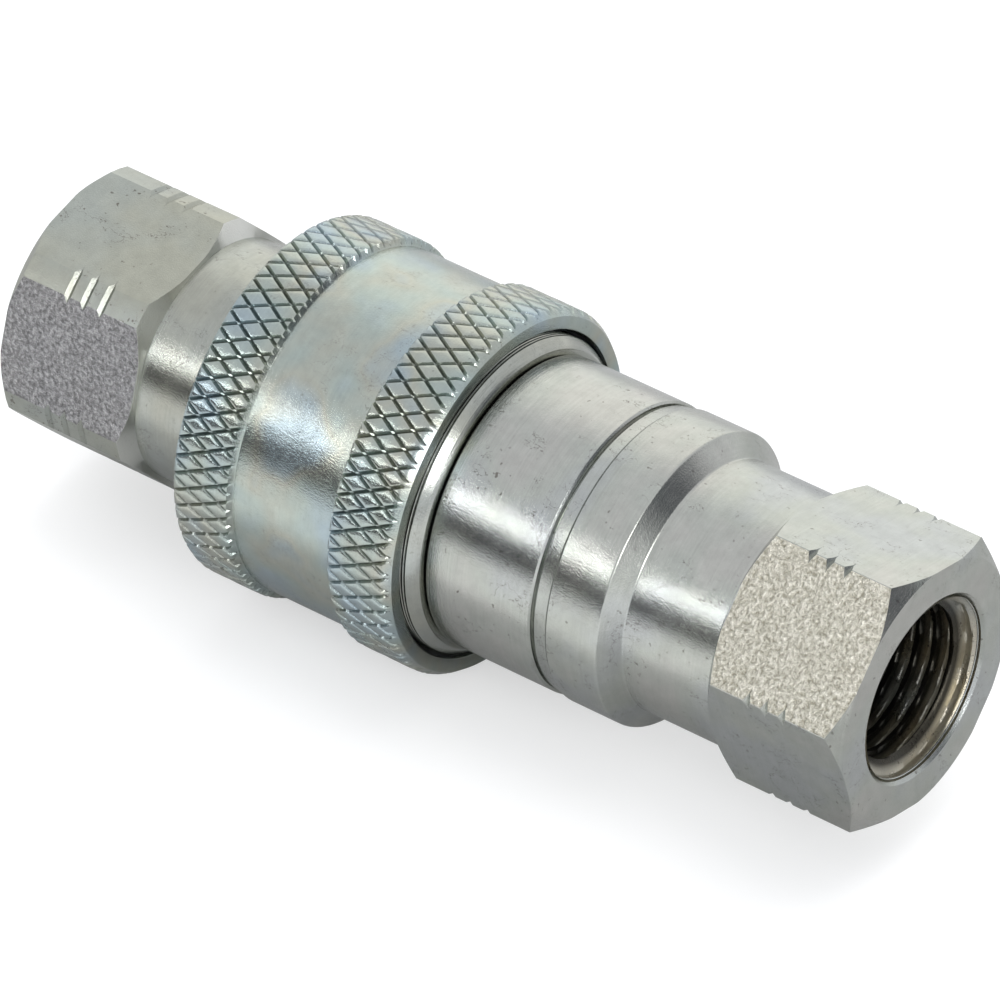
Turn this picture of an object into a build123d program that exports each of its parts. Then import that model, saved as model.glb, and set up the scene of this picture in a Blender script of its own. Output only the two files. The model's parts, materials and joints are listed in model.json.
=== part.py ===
from build123d import *
from math import degrees
import os

# Quick disconnect coupler with a ball-lock sleeve and a poppet valve in each half, shown
# coupled. Everything is turned about X: the socket half lies towards -X and the plug half
# towards +X, with the origin on the axis at mid-length. Millimetres.

# Overall and ports
HALF_LENGTH = 36.5
HEX_ACROSS_FLATS = 19.05          # 3/4 inch wrench size
PORT_RADIUS = 6.7                 # root of a 1/4-18 NPT female thread
PORT_MOUTH_RADIUS = 7.1
PORT_DEPTH = 9.5
PASSAGE_RADIUS = 5.0
SPIGOT_RADIUS = 7.75              # screwed end of each adapter
SOCKET_BORE_FOR_SPIGOT = 7.8
GUIDE_BORE_RADIUS = 6.2
GASKET_INNER_RADIUS = 6.65
GASKET_THICKNESS = 0.5

# Hexagons
HEX_SIDES = 6
HEX_HALF_SECTOR = 30.0             # degrees from a corner to the middle of a flat
PLUG_HEX_START = 25.1
SOCKET_HEX_END = -24.7
PLUG_HEX_TURN = 17.5              # corner angle from +Z towards -Y, degrees
SOCKET_HEX_TURN = 43.0
SOCKET_HEX_CORNER_RADIUS = 10.49  # corners turned down to broad lands
SOCKET_HEX_BACK_RADIUS = 9.6      # small end of the back chamfer
HEX_FACE_RADIUS = 9.65            # end face inside the chamfer
HEX_CHAMFER_LENGTH = 0.85
PLUG_HEX_BACK_CHAMFER = 1.1
SOCKET_HEX_BACK_CHAMFER = 0.8
PLUG_MARK_DISTANCES = (4.4, 5.85, 7.3)     # size-mark grooves, from the end face
SOCKET_MARK_DISTANCES = (4.8, 6.25, 7.75)
PLUG_MARK_RADIUS = 10.64          # bottom of the grooves
SOCKET_MARK_RADIUS = 10.29
MARK_WIDTH = 0.6

# Necks and plug outside
SOCKET_NECK_RADIUS = 9.2
PLUG_NECK_RADIUS = 9.43
PLUG_NECK_START = 17.9
PLUG_SECTION_RADIUS = 11.0
PLUG_SHOULDER_END = 16.75
PLUG_FLANGE_RADIUS = 10.95
PLUG_FLANGE_START = 2.1
PLUG_JOINT = 11.1                 # seam between plug body and adapter
PLUG_JOINT_GROOVE_RADIUS = 10.45
PLUG_JOINT_GROOVE_END = 11.35
PLUG_JOINT_STEP_RADIUS = 10.75     # shallow collar between the groove and the shoulder
PLUG_JOINT_STEP_RISE = 0.1
PLUG_JOINT_STEP_END = 12.4
PLUG_JOINT_STEP_RAMP = 0.2

# Socket body
BODY_RADIUS = 11.2
BODY_FRONT = 2.0
SPRING_SEAT_RADIUS = 12.2
SPRING_SEAT_START = -17.3
SPRING_SEAT_END = -15.9
FRONT_BORE_RADIUS = 8.85
NOSE_BORE_RADIUS = 7.15
BORE_STEP = -7.3
WEB_FACE = -15.3
WEB_HOLE_RADIUS = 4.4
WEB_HOLE_END = -15.5
SEAT_CONE_RADIUS = 6.0
SOCKET_CHAMBER_RADIUS = 6.6
SOCKET_SHOULDER = -19.5
GLAND_START = -12.9
GLAND_END = -9.7
GLAND_RADIUS = 8.95

# Locking balls
BALL_COUNT = 8
BALL_RADIUS = 1.5875              # 1/8 inch
BALL_X = -4.6
BALL_CENTRE_RADIUS = 9.64
BALL_GROOVE_RADIUS = 1.65
BALL_HOLE_RADIUS = 1.7
BALL_HOLE_MOUTH_RADIUS = 1.5      # where the hole meets the bore
BALL_HOLE_TAPER_TOP = 9.5
BALL_HOLE_OVERRUN = 0.3           # extra depth inside the bore
BALL_HOLE_BREAKOUT = 1.0          # extra length outside the body

# Retaining ring and its groove in the socket body
RING_WIRE_RADIUS = 0.6
RING_X = -1.8
RING_MEAN_RADIUS = 11.5
RING_GAP = 3.0
RING_GROOVE_RADIUS = 10.85
RING_GROOVE_CLEARANCE = 0.05

# Front collar, pressed on the socket body inside the sleeve's mouth
COLLAR_START = 0.3
COLLAR_SHOULDER = 1.15
COLLAR_END = 1.95
COLLAR_RADIUS = 11.9
COLLAR_FACE_RADIUS = 11.4

# Sleeve
SLEEVE_REAR = -17.9
SLEEVE_FRONT = 1.1
SLEEVE_BORE_RADIUS = 12.3
SLEEVE_LAND_RADIUS = 11.31
SLEEVE_LAND_START = -8.2
SLEEVE_LAND_END = -4.8
SLEEVE_SHOULDER = -2.4
SLEEVE_RAMP_SLOPE = 0.2           # ball lift per millimetre of sleeve travel
REAR_KNURL_RADIUS = 13.67
REAR_KNURL_END = -13.2
FRONT_KNURL_RADIUS = 13.78
FRONT_KNURL_START = -4.3
FRONT_KNURL_END = 0.5
SLEEVE_BAND_RADIUS = 13.12
SLEEVE_BAND_START = -12.95
SLEEVE_RIM_RADIUS = 13.3
SLEEVE_REAR_CHAMFER = 0.3
FRONT_KNURL_RISE = 0.15           # axial length of the rise from the middle band

# Plug body
NOSE_TIP = -15.0
NOSE_TIP_RADIUS = 6.4
NOSE_RADIUS = 7.1
NOSE_END = -8.7
PLUG_BARREL_RADIUS = 8.8
PLUG_SEAT_HOLE_END = -14.8
PLUG_CHAMBER_RADIUS = 5.6
PLUG_CHAMBER_END = 1.0
PLUG_GASKET_START = 3.6

# Valves
STEM_RADIUS = 1.75
HUB_RADIUS = 2.6
HUB_BORE_RADIUS = 1.85
GUIDE_RIM_RADIUS = 6.15
GUIDE_RIM_INNER_RADIUS = 5.2
GUIDE_ARM_WIDTH = 1.6
GUIDE_THICKNESS = 1.6
GUIDE_ARMS = 4
GUIDE_ARM_OVERLAP = 0.3           # how far each arm runs into the rim
VALVE_TRAVEL = 0.8
TRAVEL_GAP = 0.05
NOSE_MEET_X = -15.15
NOSE_MEET_GAP = 0.02
PIN_RADIUS = 2.0
LIP_RADIUS = 4.1
LIP_THICKNESS = 0.3
GROOVE_RADIUS = 3.2
GROOVE_WIDTH = 1.3
VALVE_FLANGE_THICKNESS = 0.9
PIN_SHARE = 0.4                   # part of the nose that is a plain pin
SOCKET_VALVE_FLANGE_RADIUS = 5.6
PLUG_VALVE_FLANGE_RADIUS = 4.9
SOCKET_LIP_X = -17.3
PLUG_LIP_X = -13.0
SOCKET_STEM_END = -26.2
PLUG_STEM_END = 5.0
VALVE_RING_WIRE = 0.58
VALVE_RING_GAP = 0.02             # ring to the bottom of its groove
VALVE_SPRING_MEAN_RADIUS = 3.6
VALVE_SPRING_WIRE = 0.35
SOCKET_VALVE_SPRING_TURNS = 4
PLUG_VALVE_SPRING_TURNS = 8

# Sleeve spring
SLEEVE_SPRING_MEAN_RADIUS = 11.75
SLEEVE_SPRING_WIRE = 0.4
SLEEVE_SPRING_TURNS = 4


def section(points):
    """Closed face in the XZ plane through (x, radius) points."""
    with BuildSketch(Plane.XZ) as face:
        with BuildLine():
            Polyline(*points, close=True)
        make_face()
    return face.sketch


def hex_blank_section(end, inner, corner_radius, root_radius, rise, marks, mark_radius):
    """Section that trims a hexagon: end chamfer, three mark grooves, back chamfer."""
    way = 1 if inner > end else -1
    points = [(end, 0), (end, HEX_FACE_RADIUS), (end + way * HEX_CHAMFER_LENGTH, corner_radius)]
    for distance in marks:
        points.append((end + way * (distance - MARK_WIDTH / 2), corner_radius))
        points.append((end + way * distance, mark_radius))
        points.append((end + way * (distance + MARK_WIDTH / 2), corner_radius))
    points += [(inner - way * rise, corner_radius), (inner, root_radius), (inner, 0)]
    return section(points)


def port_section(end, way, passage_end):
    """Section of a port: countersunk mouth, thread bore and flow passage."""
    mouth_depth = PORT_MOUTH_RADIUS - PORT_RADIUS
    bottom = end + way * PORT_DEPTH
    return section([
        (end, 0),
        (end, PORT_MOUTH_RADIUS),
        (end + way * mouth_depth, PORT_RADIUS),
        (bottom, PORT_RADIUS),
        (bottom, PASSAGE_RADIUS),
        (passage_end, PASSAGE_RADIUS),
        (passage_end, 0),
    ])


def save(builder, label):
    """Name a finished piece and write it to its own STEP file."""
    builder.part.label = label
    export_step(builder.part, f"parts/{label}.step")


def coil(start, end, mean_radius, wire_radius, turns, label):
    """Open-wound compression spring about X between two seats."""
    length = end - start - 2 * wire_radius
    with BuildPart() as spring:
        with BuildLine() as path:
            Helix(length / turns, length, mean_radius, center=(start + wire_radius, 0, 0),
                  direction=(1, 0, 0))
        with BuildSketch(Plane(origin=path.line @ 0, z_dir=path.line % 0)):
            Circle(wire_radius)
        sweep(path=path.line, is_frenet=True)
    save(spring, label)


def o_ring(x, mean_radius, half_width, half_height, label):
    """Seal ring about X with a slightly squeezed, rounded section."""
    with BuildPart() as ring:
        with BuildSketch(Plane.XZ):
            with Locations((x, mean_radius)):
                Ellipse(half_width, half_height)
        revolve(axis=Axis.X)
    save(ring, label)


def washer(start, end, inner_radius, outer_radius, label):
    """Flat ring about X."""
    with BuildPart() as ring:
        revolve(section([(start, inner_radius), (end, inner_radius), (end, outer_radius),
                         (start, outer_radius)]), axis=Axis.X)
    save(ring, label)


def valve_guide(seat, way, hub_end, label):
    """Spider that guides a valve stem: rim, arms and a long hub. way points at the valve."""
    face = seat + way * GUIDE_THICKNESS
    with BuildPart() as guide:
        revolve(section([(seat, GUIDE_RIM_INNER_RADIUS), (face, GUIDE_RIM_INNER_RADIUS),
                         (face, GUIDE_RIM_RADIUS), (seat, GUIDE_RIM_RADIUS)]), axis=Axis.X)
        with BuildSketch(Plane.YZ.offset(seat)):
            with PolarLocations(0, GUIDE_ARMS):
                Rectangle(GUIDE_RIM_INNER_RADIUS + GUIDE_ARM_OVERLAP, GUIDE_ARM_WIDTH,
                          align=(Align.MIN, Align.CENTER))
        extrude(amount=way * GUIDE_THICKNESS)
        revolve(section([(seat, 0), (hub_end, 0), (hub_end, HUB_RADIUS), (seat, HUB_RADIUS)]), axis=Axis.X)
        revolve(section([(seat, 0), (hub_end, 0), (hub_end, HUB_BORE_RADIUS), (seat, HUB_BORE_RADIUS)]),
                axis=Axis.X, mode=Mode.SUBTRACT)
    save(guide, label)


def poppet(nose, lip, way, flange_radius, stem_end, label):
    """Valve: nose pin, lip, O-ring groove, flange and stem. way points from nose to stem."""
    lip_back = lip + way * LIP_THICKNESS
    groove_back = lip_back + way * GROOVE_WIDTH
    flange_back = groove_back + way * VALVE_FLANGE_THICKNESS
    with BuildPart() as valve:
        revolve(section([
            (nose, 0),
            (nose, PIN_RADIUS),
            (nose + way * PIN_SHARE * abs(lip - nose), PIN_RADIUS),
            (lip, LIP_RADIUS),
            (lip_back, LIP_RADIUS),
            (lip_back, GROOVE_RADIUS),
            (groove_back, GROOVE_RADIUS),
            (groove_back, flange_radius),
            (flange_back, flange_radius),
            (flange_back, STEM_RADIUS),
            (stem_end, STEM_RADIUS),
            (stem_end, 0),
        ]), axis=Axis.X)
    save(valve, label)


os.makedirs("parts", exist_ok=True)

# ---- Socket half -------------------------------------------------------------------------

# Socket body: neck, spring seat, ball cage and the bore that takes the plug.
with BuildPart() as socket_body:
    ring_groove_start = RING_X - RING_WIRE_RADIUS - RING_GROOVE_CLEARANCE
    ring_groove_end = RING_X + RING_WIRE_RADIUS + RING_GROOVE_CLEARANCE
    revolve(section([
        (SOCKET_HEX_END, 0),
        (SOCKET_HEX_END, SOCKET_NECK_RADIUS),
        (SPRING_SEAT_START, SOCKET_NECK_RADIUS),
        (SPRING_SEAT_START, SPRING_SEAT_RADIUS),
        (SPRING_SEAT_END, SPRING_SEAT_RADIUS),
        (SPRING_SEAT_END, BODY_RADIUS),
        (ring_groove_start, BODY_RADIUS),
        (ring_groove_start, RING_GROOVE_RADIUS),
        (ring_groove_end, RING_GROOVE_RADIUS),
        (ring_groove_end, BODY_RADIUS),
        (BODY_FRONT, BODY_RADIUS),
        (BODY_FRONT, 0),
    ]), axis=Axis.X)
    lead_in = 0.5
    bore_ramp = FRONT_BORE_RADIUS - NOSE_BORE_RADIUS
    seat_cone_end = WEB_HOLE_END - (SEAT_CONE_RADIUS - WEB_HOLE_RADIUS)
    revolve(section([
        (BODY_FRONT, 0),
        (BODY_FRONT, FRONT_BORE_RADIUS + lead_in),
        (BODY_FRONT - lead_in, FRONT_BORE_RADIUS),
        (BORE_STEP, FRONT_BORE_RADIUS),
        (BORE_STEP - bore_ramp, NOSE_BORE_RADIUS),
        (GLAND_END, NOSE_BORE_RADIUS),
        (GLAND_END, GLAND_RADIUS),
        (GLAND_START, GLAND_RADIUS),
        (GLAND_START, NOSE_BORE_RADIUS),
        (WEB_FACE, NOSE_BORE_RADIUS),
        (WEB_FACE, WEB_HOLE_RADIUS),
        (WEB_HOLE_END, WEB_HOLE_RADIUS),
        (seat_cone_end, SEAT_CONE_RADIUS),
        (seat_cone_end, SOCKET_CHAMBER_RADIUS),
        (SOCKET_SHOULDER, SOCKET_CHAMBER_RADIUS),
        (SOCKET_SHOULDER, SOCKET_BORE_FOR_SPIGOT),
        (SOCKET_HEX_END, SOCKET_BORE_FOR_SPIGOT),
        (SOCKET_HEX_END, 0),
    ]), axis=Axis.X, mode=Mode.SUBTRACT)
    # Eight radial ball holes, tapered at the bottom so that a ball can't fall into the bore.
    taper_start = FRONT_BORE_RADIUS - BALL_HOLE_OVERRUN
    taper_slope = (BALL_HOLE_RADIUS - BALL_HOLE_MOUTH_RADIUS) / (BALL_HOLE_TAPER_TOP - FRONT_BORE_RADIUS)
    with Locations(Plane.YZ.offset(BALL_X)):
        with PolarLocations(taper_start, BALL_COUNT):
            Cone(BALL_HOLE_RADIUS - taper_slope * (BALL_HOLE_TAPER_TOP - taper_start), BALL_HOLE_RADIUS,
                 BALL_HOLE_TAPER_TOP - taper_start, rotation=(0, 90, 0),
                 align=(Align.CENTER, Align.CENTER, Align.MIN), mode=Mode.SUBTRACT)
        with PolarLocations(BALL_HOLE_TAPER_TOP, BALL_COUNT):
            Cylinder(BALL_HOLE_RADIUS, BODY_RADIUS - BALL_HOLE_TAPER_TOP + BALL_HOLE_BREAKOUT,
                     rotation=(0, 90, 0), align=(Align.CENTER, Align.CENTER, Align.MIN), mode=Mode.SUBTRACT)
save(socket_body, "socket_body")

# Socket adapter: hexagon with the rear port, and the spigot that screws into the body.
with BuildPart() as socket_adapter:
    spigot_end = SOCKET_SHOULDER - GASKET_THICKNESS
    guide_seat = -26.0
    with BuildSketch(Plane.YZ.offset(-HALF_LENGTH)):
        RegularPolygon(HEX_ACROSS_FLATS / 2, HEX_SIDES, major_radius=False,
                       rotation=SOCKET_HEX_TURN - HEX_HALF_SECTOR)
    extrude(amount=SOCKET_HEX_END + HALF_LENGTH)
    revolve(hex_blank_section(-HALF_LENGTH, SOCKET_HEX_END, SOCKET_HEX_CORNER_RADIUS,
                              SOCKET_HEX_BACK_RADIUS, SOCKET_HEX_BACK_CHAMFER, SOCKET_MARK_DISTANCES,
                              SOCKET_MARK_RADIUS), axis=Axis.X, mode=Mode.INTERSECT)
    revolve(section([(SOCKET_HEX_END, 0), (spigot_end, 0), (spigot_end, SPIGOT_RADIUS),
                     (SOCKET_HEX_END, SPIGOT_RADIUS)]), axis=Axis.X)
    revolve(port_section(-HALF_LENGTH, 1, guide_seat), axis=Axis.X, mode=Mode.SUBTRACT)
    revolve(section([(guide_seat, 0), (spigot_end, 0), (spigot_end, GUIDE_BORE_RADIUS),
                     (guide_seat, GUIDE_BORE_RADIUS)]), axis=Axis.X, mode=Mode.SUBTRACT)
save(socket_adapter, "socket_adapter")

washer(spigot_end, SOCKET_SHOULDER, GASKET_INNER_RADIUS, SPIGOT_RADIUS, "socket_joint_gasket")

# Seal round the plug's nose: an O-ring with a backup ring on its outer side.
backup_width = 1.0
seal_clearance = 0.05
seal_squeeze_gap = 0.03
o_ring_half_width = (GLAND_END - GLAND_START - backup_width) / 2 - seal_clearance
o_ring_x = GLAND_START + seal_clearance + o_ring_half_width
o_ring_half_height = (GLAND_RADIUS - NOSE_RADIUS) / 2 - seal_squeeze_gap
o_ring(o_ring_x, (GLAND_RADIUS + NOSE_RADIUS) / 2, o_ring_half_width, o_ring_half_height,
       "nose_seal_o_ring")
washer(GLAND_END - seal_clearance - backup_width, GLAND_END - seal_clearance, NOSE_BORE_RADIUS,
       GLAND_RADIUS - seal_clearance / 2, "nose_seal_backup_ring")

# Socket valve: guide, poppet with its O-ring, and spring.
socket_flange_back = SOCKET_LIP_X - LIP_THICKNESS - GROOVE_WIDTH - VALVE_FLANGE_THICKNESS
valve_guide(guide_seat, 1, socket_flange_back - VALVE_TRAVEL - TRAVEL_GAP, "socket_valve_guide")
poppet(NOSE_MEET_X - NOSE_MEET_GAP, SOCKET_LIP_X, -1, SOCKET_VALVE_FLANGE_RADIUS, SOCKET_STEM_END,
       "socket_poppet")
o_ring(SOCKET_LIP_X - LIP_THICKNESS - GROOVE_WIDTH / 2, GROOVE_RADIUS + VALVE_RING_WIRE + VALVE_RING_GAP,
       VALVE_RING_WIRE, VALVE_RING_WIRE, "socket_poppet_o_ring")
coil(guide_seat + GUIDE_THICKNESS, socket_flange_back, VALVE_SPRING_MEAN_RADIUS, VALVE_SPRING_WIRE,
     SOCKET_VALVE_SPRING_TURNS, "socket_valve_spring")

# ---- Sleeve and ball lock ----------------------------------------------------------------

# Sleeve: two raised bands outside; inside, a spring cavity, the locking land, a ramp that
# lets the balls rise, and the relief in front of the retaining ring.
with BuildPart() as sleeve:
    ramp_top = SLEEVE_LAND_RADIUS + SLEEVE_RAMP_SLOPE * (SLEEVE_SHOULDER - SLEEVE_LAND_END)
    revolve(section([
        (SLEEVE_REAR, SLEEVE_BORE_RADIUS),
        (SLEEVE_REAR, REAR_KNURL_RADIUS - SLEEVE_REAR_CHAMFER),
        (SLEEVE_REAR + SLEEVE_REAR_CHAMFER, REAR_KNURL_RADIUS),
        (REAR_KNURL_END, REAR_KNURL_RADIUS),
        (SLEEVE_BAND_START, SLEEVE_BAND_RADIUS),
        (FRONT_KNURL_START, SLEEVE_BAND_RADIUS),
        (FRONT_KNURL_START + FRONT_KNURL_RISE, FRONT_KNURL_RADIUS),
        (FRONT_KNURL_END, FRONT_KNURL_RADIUS),
        (SLEEVE_FRONT, SLEEVE_RIM_RADIUS),
        (SLEEVE_FRONT, SLEEVE_BORE_RADIUS),
        (SLEEVE_SHOULDER, SLEEVE_BORE_RADIUS),
        (SLEEVE_SHOULDER, ramp_top),
        (SLEEVE_LAND_END, SLEEVE_LAND_RADIUS),
        (SLEEVE_LAND_START, SLEEVE_LAND_RADIUS),
        (SLEEVE_LAND_START, SLEEVE_BORE_RADIUS),
    ]), axis=Axis.X)
save(sleeve, "sleeve")

# Retaining ring: an open wire ring that stops the sleeve's forward travel.
with BuildPart() as sleeve_retaining_ring:
    gap_angle = degrees(RING_GAP / RING_MEAN_RADIUS)
    with BuildSketch(Plane.XZ):
        with Locations((RING_X, RING_MEAN_RADIUS)):
            Circle(RING_WIRE_RADIUS)
    revolve(axis=Axis.X, revolution_arc=360 - gap_angle)
save(sleeve_retaining_ring, "sleeve_retaining_ring")

# Front collar: closes the gap between the socket body and the sleeve's mouth.
with BuildPart() as socket_front_collar:
    revolve(section([
        (COLLAR_START, BODY_RADIUS),
        (COLLAR_START, COLLAR_RADIUS),
        (COLLAR_SHOULDER, COLLAR_RADIUS),
        (COLLAR_END, COLLAR_FACE_RADIUS),
        (COLLAR_END, BODY_RADIUS),
    ]), axis=Axis.X)
save(socket_front_collar, "socket_front_collar")

coil(SPRING_SEAT_END, SLEEVE_LAND_START, SLEEVE_SPRING_MEAN_RADIUS, SLEEVE_SPRING_WIRE,
     SLEEVE_SPRING_TURNS, "sleeve_spring")

# Locking balls, counted round the axis from +Y towards +Z.
with Locations(Plane.YZ.offset(BALL_X)):
    ball_places = PolarLocations(BALL_CENTRE_RADIUS, BALL_COUNT).locations
for number, place in enumerate(ball_places, start=1):
    with BuildPart() as locking_ball:
        with Locations(place):
            Sphere(BALL_RADIUS)
    save(locking_ball, f"locking_ball_{number}")

# ---- Plug half ---------------------------------------------------------------------------

# Plug body: nose, ball groove, barrel and flange, with the valve chamber inside.
with BuildPart() as plug_body:
    nose_ramp = PLUG_BARREL_RADIUS - NOSE_RADIUS
    flange_chamfer = 0.35
    revolve(section([
        (NOSE_TIP, 0),
        (NOSE_TIP, NOSE_TIP_RADIUS),
        (NOSE_TIP + NOSE_RADIUS - NOSE_TIP_RADIUS, NOSE_RADIUS),
        (NOSE_END, NOSE_RADIUS),
        (NOSE_END + nose_ramp, PLUG_BARREL_RADIUS),
        (PLUG_FLANGE_START, PLUG_BARREL_RADIUS),
        (PLUG_FLANGE_START, PLUG_FLANGE_RADIUS - flange_chamfer),
        (PLUG_FLANGE_START + flange_chamfer, PLUG_FLANGE_RADIUS),
        (PLUG_JOINT, PLUG_FLANGE_RADIUS),
        (PLUG_JOINT, 0),
    ]), axis=Axis.X)
    with BuildSketch(Plane.XZ):
        with Locations((BALL_X, BALL_CENTRE_RADIUS)):
            Circle(BALL_GROOVE_RADIUS)
    revolve(axis=Axis.X, mode=Mode.SUBTRACT)
    seat_end = PLUG_SEAT_HOLE_END + PLUG_CHAMBER_RADIUS - WEB_HOLE_RADIUS
    revolve(section([
        (NOSE_TIP, 0),
        (NOSE_TIP, WEB_HOLE_RADIUS),
        (PLUG_SEAT_HOLE_END, WEB_HOLE_RADIUS),
        (seat_end, PLUG_CHAMBER_RADIUS),
        (PLUG_CHAMBER_END, PLUG_CHAMBER_RADIUS),
        (PLUG_CHAMBER_END, GUIDE_BORE_RADIUS),
        (PLUG_GASKET_START, GUIDE_BORE_RADIUS),
        (PLUG_GASKET_START, SOCKET_BORE_FOR_SPIGOT),
        (PLUG_JOINT, SOCKET_BORE_FOR_SPIGOT),
        (PLUG_JOINT, 0),
    ]), axis=Axis.X, mode=Mode.SUBTRACT)
save(plug_body, "plug_body")

# Plug adapter: spigot, grooved joint, shoulder, neck and hexagon with the front port.
with BuildPart() as plug_adapter:
    plug_spigot_start = PLUG_GASKET_START + GASKET_THICKNESS
    with BuildSketch(Plane.YZ.offset(PLUG_HEX_START)):
        RegularPolygon(HEX_ACROSS_FLATS / 2, HEX_SIDES, major_radius=False,
                       rotation=PLUG_HEX_TURN + HEX_HALF_SECTOR)
    extrude(amount=HALF_LENGTH - PLUG_HEX_START)
    revolve(hex_blank_section(HALF_LENGTH, PLUG_HEX_START, PLUG_SECTION_RADIUS, PLUG_NECK_RADIUS,
                              PLUG_HEX_BACK_CHAMFER, PLUG_MARK_DISTANCES, PLUG_MARK_RADIUS),
            axis=Axis.X, mode=Mode.INTERSECT)
    revolve(section([
        (plug_spigot_start, 0),
        (plug_spigot_start, SPIGOT_RADIUS),
        (PLUG_JOINT, SPIGOT_RADIUS),
        (PLUG_JOINT, PLUG_JOINT_GROOVE_RADIUS),
        (PLUG_JOINT_GROOVE_END, PLUG_JOINT_GROOVE_RADIUS),
        (PLUG_JOINT_GROOVE_END, PLUG_JOINT_STEP_RADIUS),
        (PLUG_JOINT_STEP_END, PLUG_JOINT_STEP_RADIUS + PLUG_JOINT_STEP_RISE),
        (PLUG_JOINT_STEP_END + PLUG_JOINT_STEP_RAMP, PLUG_SECTION_RADIUS),
        (PLUG_SHOULDER_END, PLUG_SECTION_RADIUS),
        (PLUG_NECK_START, PLUG_NECK_RADIUS),
        (PLUG_HEX_START, PLUG_NECK_RADIUS),
        (PLUG_HEX_START, 0),
    ]), axis=Axis.X)
    revolve(port_section(HALF_LENGTH, -1, plug_spigot_start), axis=Axis.X, mode=Mode.SUBTRACT)
save(plug_adapter, "plug_adapter")

washer(PLUG_GASKET_START, plug_spigot_start, GASKET_INNER_RADIUS, SPIGOT_RADIUS, "plug_joint_gasket")

# Plug valve: guide, poppet with its O-ring, and spring.
plug_flange_back = PLUG_LIP_X + LIP_THICKNESS + GROOVE_WIDTH + VALVE_FLANGE_THICKNESS
valve_guide(plug_spigot_start, -1, plug_flange_back + VALVE_TRAVEL + TRAVEL_GAP, "plug_valve_guide")
poppet(NOSE_MEET_X + NOSE_MEET_GAP, PLUG_LIP_X, 1, PLUG_VALVE_FLANGE_RADIUS, PLUG_STEM_END, "plug_poppet")
o_ring(PLUG_LIP_X + LIP_THICKNESS + GROOVE_WIDTH / 2, GROOVE_RADIUS + VALVE_RING_WIRE + VALVE_RING_GAP,
       VALVE_RING_WIRE, VALVE_RING_WIRE, "plug_poppet_o_ring")
coil(plug_flange_back, plug_spigot_start - GUIDE_THICKNESS, VALVE_SPRING_MEAN_RADIUS, VALVE_SPRING_WIRE,
     PLUG_VALVE_SPRING_TURNS, "plug_valve_spring")
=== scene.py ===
import json
from math import acos, atan2, ceil, cos, pi, radians, sin, sqrt, tan

import bmesh
import bpy
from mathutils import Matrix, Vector


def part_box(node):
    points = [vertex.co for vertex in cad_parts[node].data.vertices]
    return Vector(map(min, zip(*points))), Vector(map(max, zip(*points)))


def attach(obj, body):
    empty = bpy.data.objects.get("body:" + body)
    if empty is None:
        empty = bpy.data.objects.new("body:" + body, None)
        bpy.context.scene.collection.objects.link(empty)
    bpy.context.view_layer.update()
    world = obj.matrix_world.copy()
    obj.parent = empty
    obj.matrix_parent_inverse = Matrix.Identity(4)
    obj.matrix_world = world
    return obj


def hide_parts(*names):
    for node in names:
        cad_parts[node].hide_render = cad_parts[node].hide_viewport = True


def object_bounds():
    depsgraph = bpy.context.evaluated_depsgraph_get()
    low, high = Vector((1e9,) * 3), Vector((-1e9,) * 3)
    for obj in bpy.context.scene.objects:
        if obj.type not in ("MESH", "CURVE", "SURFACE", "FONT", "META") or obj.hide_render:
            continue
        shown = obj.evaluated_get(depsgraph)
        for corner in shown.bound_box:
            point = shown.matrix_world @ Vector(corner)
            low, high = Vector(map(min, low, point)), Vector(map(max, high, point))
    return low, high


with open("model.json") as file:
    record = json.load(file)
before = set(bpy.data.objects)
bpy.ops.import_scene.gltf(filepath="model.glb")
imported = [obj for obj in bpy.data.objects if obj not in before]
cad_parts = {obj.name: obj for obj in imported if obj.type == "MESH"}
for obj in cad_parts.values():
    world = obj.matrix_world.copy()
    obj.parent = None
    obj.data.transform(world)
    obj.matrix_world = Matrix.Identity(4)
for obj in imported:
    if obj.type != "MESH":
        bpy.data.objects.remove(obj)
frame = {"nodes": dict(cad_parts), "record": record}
cad_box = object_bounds()

MM = 0.001

# ---- Driving sizes, millimetres ------------------------------------------------------------
# Hexagons
HEX_APOTHEM = 19.05 / 2
PLUG_HEX_TURN = 17.5              # corner angle from +Z towards -Y, degrees
SOCKET_HEX_TURN = 43.0
PLUG_CORNER_RADIUS = 10.96
SOCKET_CORNER_RADIUS = 10.49
HEX_FACE_RADIUS = 9.65
HEX_CHAMFER_LENGTH = 0.85
PLUG_HEX_START = 25.1
PLUG_BACK_CHAMFER = 1.1           # length along the axis
SOCKET_BACK_RADIUS = 9.6          # small end of the back chamfer
SOCKET_BACK_CHAMFER = 0.8
PLUG_MARKS = ((4.4, 5.85, 7.3), 10.64)       # distances from the end face, bottom radius
SOCKET_MARKS = ((4.8, 6.25, 7.75), 10.29)
MARK_WIDTH = 0.6

# Ports and threads
THREAD_PITCH = 25.4 / 18
THREAD_ROOT = 6.7
THREAD_CREST = 5.6
THREAD_TAPER = 1 / 32             # fall of the radius along the axis
THREAD_WALL = 0.05                # how far the thread's ring runs into the bore's wall
THREAD_START = 0.15               # gap to the end face
THREAD_RUNOUT = 0.6               # gap to the bottom of the bore
RIDGE_TOP = 1.5                   # ridge height before it is cut off flat at 1
RIDGE_SLOPE = 4.6                 # its fall, per pitch
PORT_MOUTH = 7.1
PORT_DEPTH = 9.5
PASSAGE_RADIUS = 5.0
SPIGOT_RADIUS = 7.75
SPIGOT_BORE = 7.8
GUIDE_BORE = 6.2
SOCKET_GUIDE_SEAT = -26.0
SOCKET_FACE_RADIUS = 9.15

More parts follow.
